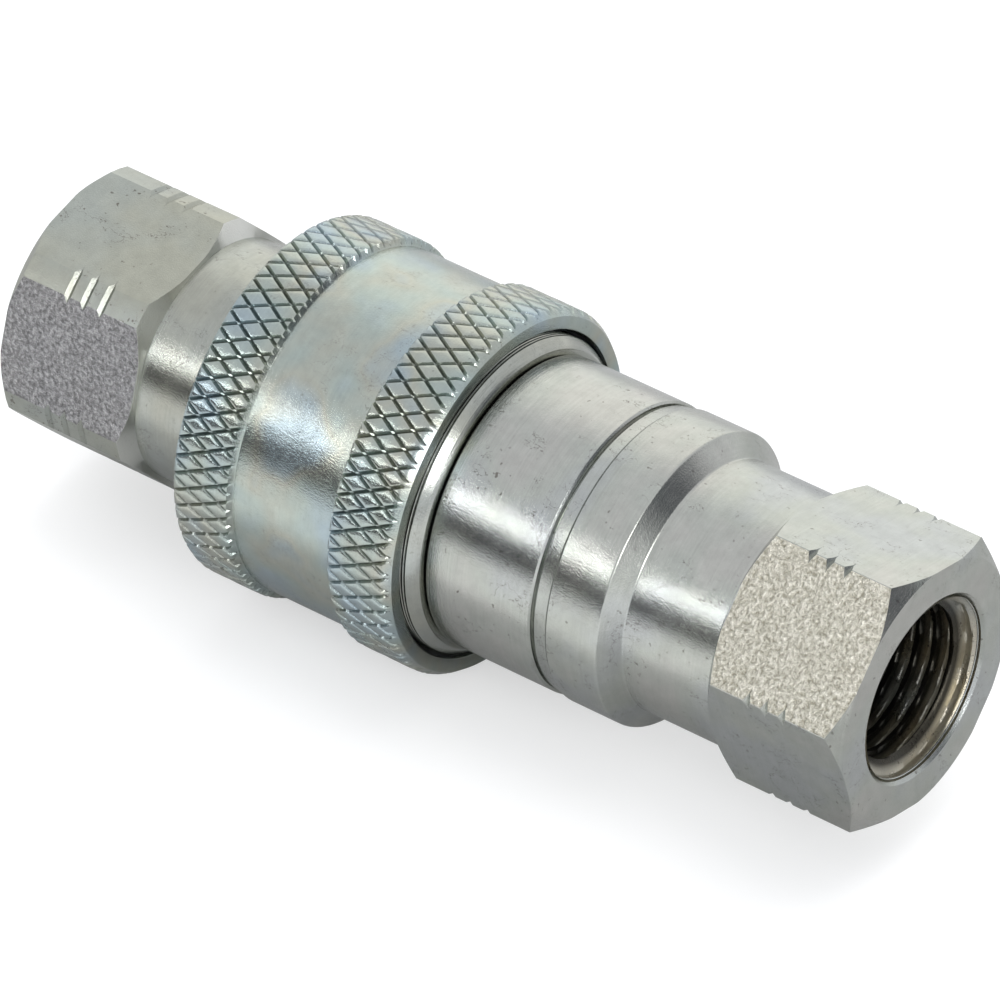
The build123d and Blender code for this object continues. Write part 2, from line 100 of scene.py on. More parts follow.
# Plug
NOSE_TIP_RADIUS = 6.4
NOSE_RADIUS = 7.1
NOSE_CHAMFER = 0.7
NOSE_END = -8.7
NOSE_HOLE_RADIUS = 4.4
NOSE_HOLE_END = -14.8
BARREL_START = -7.0
BARREL_RADIUS = 8.8
BALL_CENTRE_RADIUS = 9.64
BALL_GROOVE_RADIUS = 1.65
BALL_GROOVE_HALF = 1.42           # half width where the groove meets the barrel
CHAMBER_RADIUS = 5.6
CHAMBER_START = -13.6
CHAMBER_END = 1.0
GASKET_SEAT = 3.6
FLANGE_START = 2.1
JOINT_GROOVE_RADIUS = 10.45
JOINT_STEP_RADIUS = 10.75
SECTION_RADIUS = 11.0
SHOULDER_END = 16.75
PLUG_NECK_START = 17.9
PLUG_NECK_RADIUS = 9.43

# Front collar
COLLAR_BORE = 11.2
COLLAR_LINES = (0.55, 0.78, 1.01)            # x of the fine turned lines
COLLAR_LINE_HALF = 0.06
COLLAR_LINE_DEPTH = 0.07
COLLAR_SHOULDER = 1.2
COLLAR_FACE_RADIUS = 11.45

# Sleeve
REAR_KNURL_RADIUS = 13.67
SLEEVE_BAND_RADIUS = 13.12
SLEEVE_BAND_START = -12.95
SLEEVE_BAND_END = -4.35
SLEEVE_BORE = 12.3
SLEEVE_LAND_RADIUS = 11.31
SLEEVE_LAND_START = -8.2
SLEEVE_LAND_END = -4.8
SLEEVE_SHOULDER = -2.4
SLEEVE_RAMP_RADIUS = 11.79        # at the shoulder
KNURL_STARTS = 60
KNURL_HELIX = 28.0                # degrees from the axis
KNURL_GROOVE = 0.30               # groove width
KNURL_FLANK = ((0.0, -0.30), (0.95, -0.05), (1.5, -0.015), (3.0, 0.0))   # half widths out, height


# ---- Frame places, millimetres -------------------------------------------------------------
def span(node):
    """Lowest and highest x of a CAD node, and its largest radius, in millimetres."""
    low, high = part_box(node)
    return low.x / MM, high.x / MM, high.z / MM


SLEEVE_REAR, SLEEVE_FRONT, SLEEVE_RADIUS = span("sleeve")
SOCKET_END, SOCKET_SPIGOT, _ = span("socket_adapter")
SOCKET_JOINT = span("socket_body")[0]
NOSE_TIP, PLUG_JOINT, PLUG_FLANGE_RADIUS = span("plug_body")
PLUG_SPIGOT, PLUG_END, _ = span("plug_adapter")
BALL_X = sum(span("locking_ball_1")[:2]) / 2


# ---- Mesh tools ----------------------------------------------------------------------------
def place(x, radius, turn):
    """Point at a distance from the axis; turn is from +Z towards -Y, in radians."""
    return Vector((x * MM, -radius * sin(turn) * MM, radius * cos(turn) * MM))


def rounded(points, steps=4):
    """Closed outline of (x, radius, fillet) corners with each fillet drawn as an arc."""
    outline = []
    for index, (x, radius, fillet) in enumerate(points):
        corner = Vector((x, radius))
        before = Vector(points[index - 1][:2]) - corner
        after = Vector(points[(index + 1) % len(points)][:2]) - corner
        if fillet <= 0:
            outline.append((corner.x, corner.y))
            continue
        half = before.angle(after) / 2
        reach = min(fillet / tan(half), 0.45 * before.length, 0.45 * after.length)
        radius_used = reach * tan(half)
        start = corner + before.normalized() * reach
        end = corner + after.normalized() * reach
        centre = corner + (before.normalized() + after.normalized()).normalized() * radius_used / sin(half)
        first = atan2(*(start - centre).yx)
        sweep = (atan2(*(end - centre).yx) - first + pi) % (2 * pi) - pi
        for step in range(steps + 1):
            angle = first + sweep * step / steps
            outline.append((centre.x + radius_used * cos(angle), centre.y + radius_used * sin(angle)))
    return outline


def loft(name, rows, turns, sharp=30):
    """Closed mesh about X. Each row gives (x, radius) for a turn angle; the last row joins the first."""
    mesh = bpy.data.meshes.new(name)
    bm = bmesh.new()
    grid = []
    for row in rows:
        line = row if callable(row) else (lambda turn, spot=row: spot)
        grid.append([bm.verts.new(place(*line(turn), turn)) for turn in turns])
    for index in range(len(grid)):
        low, high = grid[index - 1], grid[index]
        for side in range(len(turns)):
            other = (side + 1) % len(turns)
            bm.faces.new((low[side], low[other], high[other], high[side]))
    bmesh.ops.remove_doubles(bm, verts=bm.verts, dist=2e-6)
    finish_mesh(bm, mesh, sharp)
    return link(name, mesh)


def finish_mesh(bm, mesh, sharp):
    """Outward normals, smooth shading, and hard edges above the given angle."""
    bmesh.ops.dissolve_degenerate(bm, edges=bm.edges, dist=1e-7)
    bmesh.ops.recalc_face_normals(bm, faces=bm.faces)
    for face in bm.faces:
        face.smooth = True
    for edge in bm.edges:
        edge.smooth = edge.calc_face_angle(0) < radians(sharp)
    bm.to_mesh(mesh)
    bm.free()


def link(name, mesh):
    piece = bpy.data.objects.new(name, mesh)
    bpy.context.scene.collection.objects.link(piece)
    return piece


def even_turns(count=192):
    return [2 * pi * side / count for side in range(count)]


def hex_turns(first_corner, corner_radius, per_side=24):
    """Turn angles round a hexagon that include both ends of each narrow corner land."""
    half_flat = acos(HEX_APOTHEM / corner_radius)
    turns = []
    for flat in range(6):
        middle = radians(first_corner) + pi / 6 + flat * pi / 3
        turns += [middle - half_flat + 2 * half_flat * step / per_side for step in range(per_side + 1)]
        turns.append(middle + pi / 6)
    return turns


def hexagon(first_corner, corner_radius):
    """Function of the turn angle: the bar's radius, with its corners turned to corner_radius."""
    def radius(turn):
        offset = (turn - radians(first_corner)) % (pi / 3) - pi / 6
        return min(HEX_APOTHEM / cos(offset), corner_radius)
    return radius


def hexagon_rows(end, inner, root_radius, rise, bar, corner_radius, marks):
    """Rows along a hexagon: end chamfer, three mark grooves that cut the corners, back chamfer."""
    way = 1 if inner > end else -1
    slope = HEX_CHAMFER_LENGTH / (corner_radius - HEX_FACE_RADIUS)
    back_slope = rise / (corner_radius - root_radius)
    distances, bottom = marks

    def half_width(turn):
        return max(bar(turn) - bottom, 0) / (corner_radius - bottom) * MARK_WIDTH / 2

    rows = [lambda turn: (end, min(bar(turn), HEX_FACE_RADIUS))]
    rows.append(lambda turn: (end + way * slope * max(bar(turn) - HEX_FACE_RADIUS, 0), bar(turn)))
    for distance in distances:
        middle = end + way * distance
        rows.append(lambda turn, middle=middle: (middle - way * half_width(turn), bar(turn)))
        rows.append(lambda turn, middle=middle: (middle, min(bar(turn), bottom)))
        rows.append(lambda turn, middle=middle: (middle + way * half_width(turn), bar(turn)))
    rows.append(lambda turn: (inner - way * back_slope * max(bar(turn) - root_radius, 0), bar(turn)))
    return rows


def port_rows(end, way):
    """Port mouth and bore, from the bottom of the bore out to the end face."""
    bottom = end + way * PORT_DEPTH
    depth = PORT_MOUTH - THREAD_ROOT
    return [(bottom, THREAD_ROOT), (end + way * depth, THREAD_ROOT), (end, PORT_MOUTH)]


def smooth_step(value):
    value = min(max(value, 0), 1)
    return value * value * (3 - 2 * value)


def thread(name, end, way, body):
    """Female thread: a ring in the port whose inside is a helical ridge, fading at both ends."""
    rows_per_pitch = 14
    height = THREAD_ROOT - THREAD_CREST
    wall = THREAD_ROOT + THREAD_WALL
    length = PORT_DEPTH - THREAD_RUNOUT
    count = int(length / THREAD_PITCH * rows_per_pitch)

    def row(step):
        depth = THREAD_START + (length - THREAD_START) * step / count

        def spot(turn):
            phase = (depth / THREAD_PITCH + way * turn / (2 * pi)) % 1
            ridge = smooth_step(RIDGE_TOP - abs(phase - 0.5) * RIDGE_SLOPE)
            radius = THREAD_ROOT - depth * THREAD_TAPER - height * ridge
            mouth = PORT_MOUTH - depth + THREAD_WALL
            tail = THREAD_ROOT - height * smooth_step((length - depth) / THREAD_PITCH)
            return end + way * depth, min(max(radius, mouth, tail), wall)
        return spot

    rows = [row(step) for step in range(count + 1)]
    rows.append((end + way * length, wall))
    rows.append((end + way * THREAD_START, wall))
    piece = loft(name, rows, even_turns(144), sharp=50)
    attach(piece, body)
    return piece


# ---- Turned pieces -------------------------------------------------------------------------
# Outlines are (x, radius, fillet) in millimetres.
def ball_groove():
    """The balls' rounded groove in the plug's barrel."""
    def radius(offset):
        return round(BALL_CENTRE_RADIUS - sqrt(BALL_GROOVE_RADIUS ** 2 - offset ** 2), 2)

    curve = [(BALL_X + offset, radius(offset), 0) for offset in (-1.1, -0.6, 0, 0.6, 1.1)]
    start = (BALL_X - BALL_GROOVE_HALF, BARREL_RADIUS, 0.1)
    end = (BALL_X + BALL_GROOVE_HALF, BARREL_RADIUS, 0.1)
    return [start, *curve, end]


def build_plug_body():
    outline = [
        (NOSE_TIP, NOSE_HOLE_RADIUS, 0.05),
        (NOSE_TIP, NOSE_TIP_RADIUS, 0.2),
        (NOSE_TIP + NOSE_CHAMFER, NOSE_RADIUS, 0.3),
        (NOSE_END, NOSE_RADIUS, 0.2),
        (BARREL_START, BARREL_RADIUS, 0.2),
        *ball_groove(),
        (FLANGE_START, BARREL_RADIUS, 0.1),
        (FLANGE_START, PLUG_FLANGE_RADIUS - 0.2, 0.04),
        (FLANGE_START + 0.18, PLUG_FLANGE_RADIUS - 0.05, 0.06),
        (FLANGE_START + 1.2, PLUG_FLANGE_RADIUS, 0.05),
        (PLUG_JOINT - 0.14, PLUG_FLANGE_RADIUS, 0.04),
        (PLUG_JOINT, PLUG_FLANGE_RADIUS - 0.16, 0.04),
        (PLUG_JOINT, SPIGOT_BORE, 0),
        (GASKET_SEAT, SPIGOT_BORE, 0),
        (GASKET_SEAT, GUIDE_BORE, 0),
        (CHAMBER_END, GUIDE_BORE, 0),
        (CHAMBER_END, CHAMBER_RADIUS, 0),
        (CHAMBER_START, CHAMBER_RADIUS, 0.2),
        (NOSE_HOLE_END, NOSE_HOLE_RADIUS, 0.1),
    ]
    body = loft("plug_body_turned", rounded(outline), even_turns())
    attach(body, "plug")
    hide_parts("plug_body")
    return body


def build_plug_adapter():
    bar = hexagon(PLUG_HEX_TURN, PLUG_CORNER_RADIUS)
    chamfer_way = (PLUG_HEX_START + 0.9, PLUG_NECK_RADIUS + 0.57, 0)   # gives the neck's fillet its direction
    outside = rounded([
        (PLUG_SPIGOT, PASSAGE_RADIUS, 0),
        (PLUG_SPIGOT, SPIGOT_RADIUS, 0.1),
        (PLUG_JOINT, SPIGOT_RADIUS, 0),
        (PLUG_JOINT, JOINT_GROOVE_RADIUS, 0.05),
        (PLUG_JOINT + 0.22, JOINT_GROOVE_RADIUS, 0.05),
        (PLUG_JOINT + 0.27, JOINT_STEP_RADIUS, 0.06),
        (PLUG_JOINT + 1.3, JOINT_STEP_RADIUS + 0.1, 0.08),
        (PLUG_JOINT + 1.5, SECTION_RADIUS, 0.06),
        (SHOULDER_END, SECTION_RADIUS, 0.25),
        (PLUG_NECK_START, PLUG_NECK_RADIUS, 0.25),
        (PLUG_HEX_START, PLUG_NECK_RADIUS, 0.05),
        chamfer_way,
    ])[:-1]
    hexagon_part = hexagon_rows(PLUG_END, PLUG_HEX_START, PLUG_NECK_RADIUS, PLUG_BACK_CHAMFER, bar,
                                PLUG_CORNER_RADIUS, PLUG_MARKS)
    inside = [(PLUG_END - PORT_DEPTH, PASSAGE_RADIUS)]
    rows = outside + hexagon_part[::-1] + port_rows(PLUG_END, -1)[::-1] + inside
    adapter = loft("plug_adapter_turned", rows, hex_turns(PLUG_HEX_TURN, PLUG_CORNER_RADIUS), sharp=22)
    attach(adapter, "plug")
    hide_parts("plug_adapter")
    return adapter


def build_front_collar():
    """Collar in the sleeve's mouth, with fine turned lines on its outside."""
    start, end, radius = span("socket_front_collar")
    outline = [(start, COLLAR_BORE, 0), (start, radius, 0.05)]
    for line in COLLAR_LINES:
        outline.append((line - COLLAR_LINE_HALF, radius, 0))
        outline.append((line, radius - COLLAR_LINE_DEPTH, 0))
        outline.append((line + COLLAR_LINE_HALF, radius, 0))
    outline.append((COLLAR_SHOULDER, radius, 0.1))
    outline.append((end - 0.2, COLLAR_FACE_RADIUS, 0.2))
    outline.append((end, COLLAR_BORE + 0.05, 0.05))
    outline.append((end, COLLAR_BORE, 0))
    collar = loft("front_collar_turned", rounded(outline), even_turns())
    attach(collar, "socket")
    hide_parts("socket_front_collar")
    return collar


def build_socket_adapter():
    bar = hexagon(SOCKET_HEX_TURN, SOCKET_CORNER_RADIUS)
    hexagon_part = hexagon_rows(SOCKET_END, SOCKET_JOINT, SOCKET_BACK_RADIUS, SOCKET_BACK_CHAMFER, bar,
                                SOCKET_CORNER_RADIUS, SOCKET_MARKS)
    inside = rounded([
        (SOCKET_JOINT, SOCKET_FACE_RADIUS, 0),
        (SOCKET_JOINT, SPIGOT_RADIUS, 0),
        (SOCKET_SPIGOT, SPIGOT_RADIUS, 0.1),
        (SOCKET_SPIGOT, GUIDE_BORE, 0.1),
        (SOCKET_GUIDE_SEAT, GUIDE_BORE, 0),
        (SOCKET_GUIDE_SEAT, PASSAGE_RADIUS, 0),
        (SOCKET_END + PORT_DEPTH, PASSAGE_RADIUS, 0),
    ])
    rows = port_rows(SOCKET_END, 1) + hexagon_part + inside
    adapter = loft("socket_adapter_turned", rows, hex_turns(SOCKET_HEX_TURN, SOCKET_CORNER_RADIUS), sharp=22)
    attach(adapter, "socket")
    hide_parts("socket_adapter")
    return adapter


# ---- Sleeve --------------------------------------------------------------------------------
def knurl_band(bm, start, end, radius, profile, phase):
    """Open ring of flat-topped diamonds between crossed helical grooves; returns its two rims.

    The ring is drawn flat, as (x, turn, height), cut at the profile's corners and then bent round."""
    pitch = 2 * pi * radius / KNURL_STARTS
    axial = pitch / (2 * tan(radians(KNURL_HELIX)))
    half_groove = KNURL_GROOVE / cos(radians(KNURL_HELIX)) / pitch / 2
    flank = [(half_groove * out, height) for out, height in KNURL_FLANK]
    levels = flank + [(1 - at, height) for at, height in flank[::-1]]
    ring = bmesh.new()
    for index in range(KNURL_STARTS):
        for row in range(-2, ceil((end - start) / axial) + 2):
            grid = []
            for left_at, left_height in levels:
                line = []
                for right_at, right_height in levels:
                    left = index + left_at
                    right = index + row + right_at
                    x = start + (right - left) * axial
                    turn = (left + right) / 2 * pitch / radius + phase
                    line.append(ring.verts.new((x, turn, min(left_height, right_height))))
                grid.append(line)
            for one, two in zip(grid, grid[1:]):
                for side in range(len(levels) - 1):
                    ring.faces.new((one[side], one[side + 1], two[side + 1], two[side]))
    corners = sorted({x for x, _ in profile})
    for x in corners:
        everything = ring.verts[:] + ring.edges[:] + ring.faces[:]
        bmesh.ops.bisect_plane(ring, geom=everything, dist=1e-7, plane_co=(x, 0, 0), plane_no=(1, 0, 0),
                               clear_inner=x == corners[0], clear_outer=x == corners[-1])
    for vert in ring.verts:
        x, turn, height = vert.co
        vert.co = place(x, min(radius + height, outline_radius(profile, x)), turn)
    bmesh.ops.remove_doubles(ring, verts=ring.verts, dist=3e-6)
    scratch = bpy.data.meshes.new("band")
    ring.to_mesh(scratch)
    ring.free()
    bm.from_mesh(scratch)
    bpy.data.meshes.remove(scratch)
    return [rim_edges(bm, corners[0]), rim_edges(bm, corners[-1])]


def rim_edges(bm, x):
    """Open edges of a mesh in the plane at x."""
    return [edge for edge in bm.edges if edge.is_boundary
            and all(abs(vert.co.x - x * MM) < 1e-6 for vert in edge.verts)]


def strip(bm, outline, turns):
    """Open turned surface through (x, radius) points; returns its first and last rims."""
    grid = [[bm.verts.new(place(x, radius, turn)) for turn in turns] for x, radius in outline]
    for low, high in zip(grid, grid[1:]):
        for side in range(len(turns)):
            other = (side + 1) % len(turns)
            bm.faces.new((low[side], low[other], high[other], high[side]))
    ends = []
    for ring in (grid[0], grid[-1]):
        ends.append([bm.edges.get((ring[side], ring[side - 1])) for side in range(len(turns))])
    return ends


def outline_radius(profile, x):
    """Radius of a (x, radius) outline at x."""
    for (x0, r0), (x1, r1) in zip(profile, profile[1:]):
        if x0 - 1e-6 <= x <= x1 + 1e-6:
            return r0 + (r1 - r0) * (x - x0) / (x1 - x0)
    return profile[-1][1]


def build_sleeve():
    """Sleeve with its two knurled bands, one closed mesh."""
    rear_radius, front_radius = REAR_KNURL_RADIUS, SLEEVE_RADIUS
    rear_profile = [
        (SLEEVE_REAR, rear_radius - 0.35),
        (SLEEVE_REAR + 0.12, rear_radius - 0.14),
        (SLEEVE_REAR + 0.4, rear_radius),
        (SLEEVE_BAND_START - 0.4, rear_radius),
        (SLEEVE_BAND_START - 0.2, rear_radius - 0.1),
        (SLEEVE_BAND_START, SLEEVE_BAND_RADIUS + 0.05),
    ]
    front_profile = [
        (SLEEVE_BAND_END, SLEEVE_BAND_RADIUS + 0.05),
        (SLEEVE_BAND_END + 0.15, front_radius - 0.12),
        (SLEEVE_BAND_END + 0.33, front_radius),
        (SLEEVE_FRONT - 0.7, front_radius),
        (SLEEVE_FRONT - 0.48, front_radius - 0.1),
        (SLEEVE_FRONT, front_radius - 0.46),
    ]
    bore_outline = [
        (SLEEVE_REAR, SLEEVE_BORE + 0.15),
        (SLEEVE_REAR + 0.15, SLEEVE_BORE),
        (SLEEVE_LAND_START, SLEEVE_BORE),
        (SLEEVE_LAND_START, SLEEVE_LAND_RADIUS + 0.05),
        (SLEEVE_LAND_START + 0.05, SLEEVE_LAND_RADIUS),
        (SLEEVE_LAND_END, SLEEVE_LAND_RADIUS),
        (SLEEVE_SHOULDER, SLEEVE_RAMP_RADIUS),
        (SLEEVE_SHOULDER, SLEEVE_BORE),
        (SLEEVE_FRONT - 0.2, SLEEVE_BORE),
        (SLEEVE_FRONT - 0.06, SLEEVE_BORE + 0.04),
        (SLEEVE_FRONT, SLEEVE_BORE + 0.18),
    ]
    band_outline = [
        (SLEEVE_BAND_START + 0.05, SLEEVE_BAND_RADIUS),
        (SLEEVE_BAND_END - 0.05, SLEEVE_BAND_RADIUS),
    ]
    turns = even_turns(288)
    bm = bmesh.new()
    rear_rims = knurl_band(bm, SLEEVE_REAR, SLEEVE_BAND_START, rear_radius, rear_profile, phase=0.0)
    front_rims = knurl_band(bm, SLEEVE_BAND_END, SLEEVE_FRONT, front_radius, front_profile, phase=0.02)
    middle = strip(bm, band_outline, turns)
    inside = strip(bm, bore_outline, turns)
    for one, two in ((rear_rims[1], middle[0]), (middle[1], front_rims[0]), (front_rims[1], inside[1]),
                     (inside[0], rear_rims[0])):
        bmesh.ops.bridge_loops(bm, edges=one + two)
    mesh = bpy.data.meshes.new("sleeve_knurled")
    finish_mesh(bm, mesh, sharp=30)
    piece = link("sleeve_knurled", mesh)
    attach(piece, "sleeve")
    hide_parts("sleeve")
    return piece


# ---- Materials -----------------------------------------------------------------------------
class Shader:
    """Small helper that adds and links nodes of one material."""

    def __init__(self, name):
        self.material = bpy.data.materials.new(name)
        self.material.use_nodes = True
        self.tree = self.material.node_tree
        self.bsdf = self.tree.nodes["Principled BSDF"]
        self.coords = self.add("ShaderNodeTexCoord").outputs["Object"]

    def add(self, kind, **settings):
        node = self.tree.nodes.new(kind)
        for key, value in settings.items():
            setattr(node, key, value)
        return node

    def join(self, source, target):
        self.tree.links.new(source, target)

    def scaled(self, scale):
        """Object coordinates times a per-axis scale, in features per metre."""
        node = self.add("ShaderNodeMapping")
        self.join(self.coords, node.inputs["Vector"])
        node.inputs["Scale"].default_value = scale
        return node.outputs["Vector"]

    def noise(self, scale, detail=3.0, rough=0.55, stretch=(1, 1, 1)):
        node = self.add("ShaderNodeTexNoise")
        self.join(self.scaled(tuple(scale * part for part in stretch)), node.inputs["Vector"])
        node.inputs["Scale"].default_value = 1.0
        node.inputs["Detail"].default_value = detail
        node.inputs["Roughness"].default_value = rough
        return node.outputs["Fac"]

    def ramp(self, value, stops):
        node = self.add("ShaderNodeValToRGB")
        self.join(value, node.inputs["Fac"])
        elements = node.color_ramp.elements
        while len(elements) < len(stops):
            elements.new(0.5)
        for element, (at, colour) in zip(elements, stops):
            element.position = at
            element.color = (*colour, 1) if len(colour) == 3 else colour
        return node.outputs["Color"]

    def remap(self, value, low, high, to_low, to_high):
        node = self.add("ShaderNodeMapRange")
        self.join(value, node.inputs["Value"])
        for key, number in (("From Min", low), ("From Max", high), ("To Min", to_low), ("To Max", to_high)):
            node.inputs[key].default_value = number
        return node.outputs["Result"]

    def mix(self, factor, one, two, blend="MIX"):
        node = self.add("ShaderNodeMix", data_type="RGBA", blend_type=blend)
        for key, item in (("Factor", factor), ("A", one), ("B", two)):
            socket = [s for s in node.inputs if s.name == key and (s.type == "RGBA" or key == "Factor")]
            socket = socket[0]
            if hasattr(item, "is_output"):
                self.join(item, socket)
            elif key == "Factor":
                socket.default_value = item
            else:
                socket.default_value = (*item, 1)
        return [s for s in node.outputs if s.type == "RGBA"][0]

    def grey(self, value):
        node = self.add("ShaderNodeCombineColor")
        for channel in ("Red", "Green", "Blue"):
            self.join(value, node.inputs[channel])
        return node.outputs["Color"]

    def math(self, operation, one, two=0.0):
        node = self.add("ShaderNodeMath", operation=operation)
        for socket, item in zip(node.inputs, (one, two)):
            if hasattr(item, "is_output"):
                self.join(item, socket)
            else:
                socket.default_value = item
        return node.outputs[0]

    def bump(self, height, distance, strength=1.0, normal=None):
        node = self.add("ShaderNodeBump")
        self.join(height, node.inputs["Height"])
        node.inputs["Distance"].default_value = distance
        node.inputs["Strength"].default_value = strength
        if normal is not None:
            self.join(normal, node.inputs["Normal"])
        return node.outputs["Normal"]

    def vary(self, noise, low, high):
        """Noise spread over a range of values."""
        return self.remap(noise, 0.3, 0.7, low, high)

    def dim(self, colour, factor):
        """Colour times a grey factor."""
        return self.mix(1.0, colour, self.grey(factor), "MULTIPLY")

    def x_of(self, vector):
        node = self.add("ShaderNodeSeparateXYZ")
        self.join(vector, node.inputs[0])
        return node.outputs["X"]

    def within(self, x_low, x_high):
        """1 where x is between two places in millimetres, else 0."""
        x = self.x_of(self.coords)
        above = self.math("GREATER_THAN", x, x_low * MM)
        below = self.math("LESS_THAN", x, x_high * MM)
        return self.math("MULTIPLY", above, below)


RING_STRETCH = (1, 0.02, 0.02)    # draws noise out round the axis into turning rings
FLAT_TOLERANCE = 0.03             # millimetres
SPECK_BROWN = (0.10, 0.085, 0.07)
SCRATCH_BROWN = (0.12, 0.10, 0.09)
# Colour of the painted highlight on faces towards +X.
PAINTED_HIGHLIGHT = (0.86, 0.86, 0.82)


def plated_steel(name, base, tints, roughness, rings, grain, spots, rough_face=None, rough_tones_and_painted_light=None,
                 painted_shades=(), painted_highlight_from=None):
    """Zinc-plated steel: tint patches, turning rings, fine grain, dark specks and hair scratches.

    rings, grain and spots say how strong those are. rough_face is a hexagon flat left rough, given as
    (turn in degrees, from x, to x), and after it come a dark and a pale tone for that flat: partly its own
    tone, partly painted shade in the hollows of its grain and a painted highlight on the grain's tops.
    Each painted shade is (low radius, high radius, darkest, from x, to x), darker towards the low radius.
    Faces towards +X are painted pale beyond the x given last, as a painted highlight."""
    steel = Shader(name)
    steel.bsdf.inputs["Metallic"].default_value = 1.0
    colour = steel.mix(0.6, base, steel.ramp(steel.noise(150, 2.0), tints))
    colour = steel.dim(colour, steel.vary(steel.noise(800, 5.0, 0.7), 0.90, 1.05))
    streaks = steel.noise(6500, 3.0, 0.7, RING_STRETCH)
    colour = steel.dim(colour, steel.vary(streaks, 1.0 - 0.07 * rings, 1.0 + 0.03 * rings))
    speck_areas = steel.remap(steel.noise(260, 2.0, 0.6), 0.46, 0.58, 0.0, 1.0)
    specks = steel.remap(steel.noise(2300, 1.5, 0.5), 0.68, 0.73, 0.0, 0.8 * spots)
    colour = steel.mix(steel.math("MULTIPLY", specks, speck_areas), colour, SPECK_BROWN)
    contours = steel.math("SUBTRACT", steel.noise(420, 4.0, 0.65, (1, 1.7, 1.3)), 0.5)
    hairs = steel.remap(steel.math("ABSOLUTE", contours), 0.0025, 0.006, spots, 0.0)
    hair_areas = steel.remap(steel.noise(300, 1.0, 0.5), 0.55, 0.60, 0.0, 1.0)
    colour = steel.mix(steel.math("MULTIPLY", hairs, hair_areas), colour, SCRATCH_BROWN)
    shine = steel.math("ADD", steel.vary(steel.noise(420, 3.0), -0.015, 0.02), roughness)
    ring_height = steel.noise(9000, 3.0, 0.7, RING_STRETCH)
    grain_height = steel.noise(9000, 2.0, 0.6)
    normal = steel.bump(ring_height, 0.000012 * rings)
    normal = steel.bump(grain_height, 0.000026 * grain, normal=normal)
    # Rough flat: its own tone, with painted shade in the grain's hollows and a painted highlight on its tops.
    if rough_face:
        mask = rough_mask(steel, *rough_face)
        grains = steel.noise(3300, 3.0, 0.65)
        dark, pale = rough_tones_and_painted_light
        middle = tuple(0.5 * (one + two) for one, two in zip(dark, pale))
        rough_tone_and_painted_light = steel.ramp(grains, [(0.34, dark), (0.52, middle), (0.68, pale)])
        colour = steel.mix(steel.math("MULTIPLY", mask, 0.85), colour, rough_tone_and_painted_light)
        shine = steel.math("ADD", shine, steel.math("MULTIPLY", mask, 0.08))
        normal = steel.bump(steel.math("MULTIPLY", grains, mask), 0.00040, normal=normal)
    # Painted highlight: faces towards +X beyond the given x are made pale.
    if painted_highlight_from is not None:
        colour = steel.mix(painted_highlight_mask(steel, painted_highlight_from), colour, PAINTED_HIGHLIGHT)
    # Painted shade, darker towards the low radius.
    for shade in painted_shades:
        colour = steel.dim(colour, painted_shade_by_radius(steel, *shade))
    steel.join(colour, steel.bsdf.inputs["Base Color"])
    steel.join(shine, steel.bsdf.inputs["Roughness"])
    steel.join(normal, steel.bsdf.inputs["Normal"])
    return steel.material


def rough_mask(steel, turn, x_low, x_high):
    """1 on one hexagon flat: by distance along the flat's normal, and by x."""
    distance = steel.add("ShaderNodeVectorMath", operation="DOT_PRODUCT")
    steel.join(steel.coords, distance.inputs[0])
    distance.inputs[1].default_value = (0, -sin(radians(turn)), cos(radians(turn)))
    on_flat = steel.math("GREATER_THAN", distance.outputs["Value"], (HEX_APOTHEM - FLAT_TOLERANCE) * MM)
    return steel.math("MULTIPLY", steel.within(x_low, x_high), on_flat)


def painted_highlight_mask(steel, x_from):
    """Mask of a painted highlight: 0.7 on faces that look well towards +X, beyond x_from."""
    facing = steel.x_of(steel.add("ShaderNodeNewGeometry").outputs["True Normal"])
    beyond = steel.math("GREATER_THAN", steel.x_of(steel.coords), x_from * MM)
    return steel.math("MULTIPLY", steel.remap(facing, 0.2, 0.45, 0.0, 0.7), beyond)


def painted_shade_by_radius(steel, low, high, darkest, x_low, x_high):
    """Grey factor of painted shade: darkest at the low radius, 1 at the high one, only between the given x
    values.
    """
    across = steel.add("ShaderNodeVectorMath", operation="MULTIPLY")
    steel.join(steel.coords, across.inputs[0])
    across.inputs[1].default_value = (0, 1, 1)
    radius = steel.add("ShaderNodeVectorMath", operation="LENGTH")
    steel.join(across.outputs["Vector"], radius.inputs[0])
    shade = steel.remap(radius.outputs["Value"], low * MM, high * MM, 1.0 - darkest, 0.0)
    return steel.math("SUBTRACT", 1.0, steel.math("MULTIPLY", shade, steel.within(x_low, x_high)))


def plain_material(name, base, dark_share, roughness, spread, scales, bump, metallic=0.0):
    """Even material. scales are the noise scales of its colour, its roughness and its bump."""
    shader = Shader(name)
    shader.bsdf.inputs["Metallic"].default_value = metallic
    colour_scale, rough_scale, bump_scale = scales
    dark = tuple(dark_share * part for part in base)
    colour = shader.ramp(shader.noise(colour_scale, 3.0), [(0.3, dark), (0.7, base)])
    shader.join(colour, shader.bsdf.inputs["Base Color"])
    shine = shader.vary(shader.noise(rough_scale, 2.0), roughness, roughness + spread)
    shader.join(shine, shader.bsdf.inputs["Roughness"])
    shader.join(shader.bump(shader.noise(bump_scale, 2.0), bump), shader.bsdf.inputs["Normal"])
    return shader.material


def bare_metal(name, base, roughness, wear):
    return plain_material(name, base, 0.8, roughness, 0.12, (700, 1500, 6000), 0.00001 * wear, 1.0)


def soft_material(name, base, roughness, bumps):
    return plain_material(name, base, 0.75, roughness, 0.15, (900, 2500, 4000), 0.00002 * bumps)


def dress(piece, material):
    piece.data.materials.clear()
    piece.data.materials.append(material)


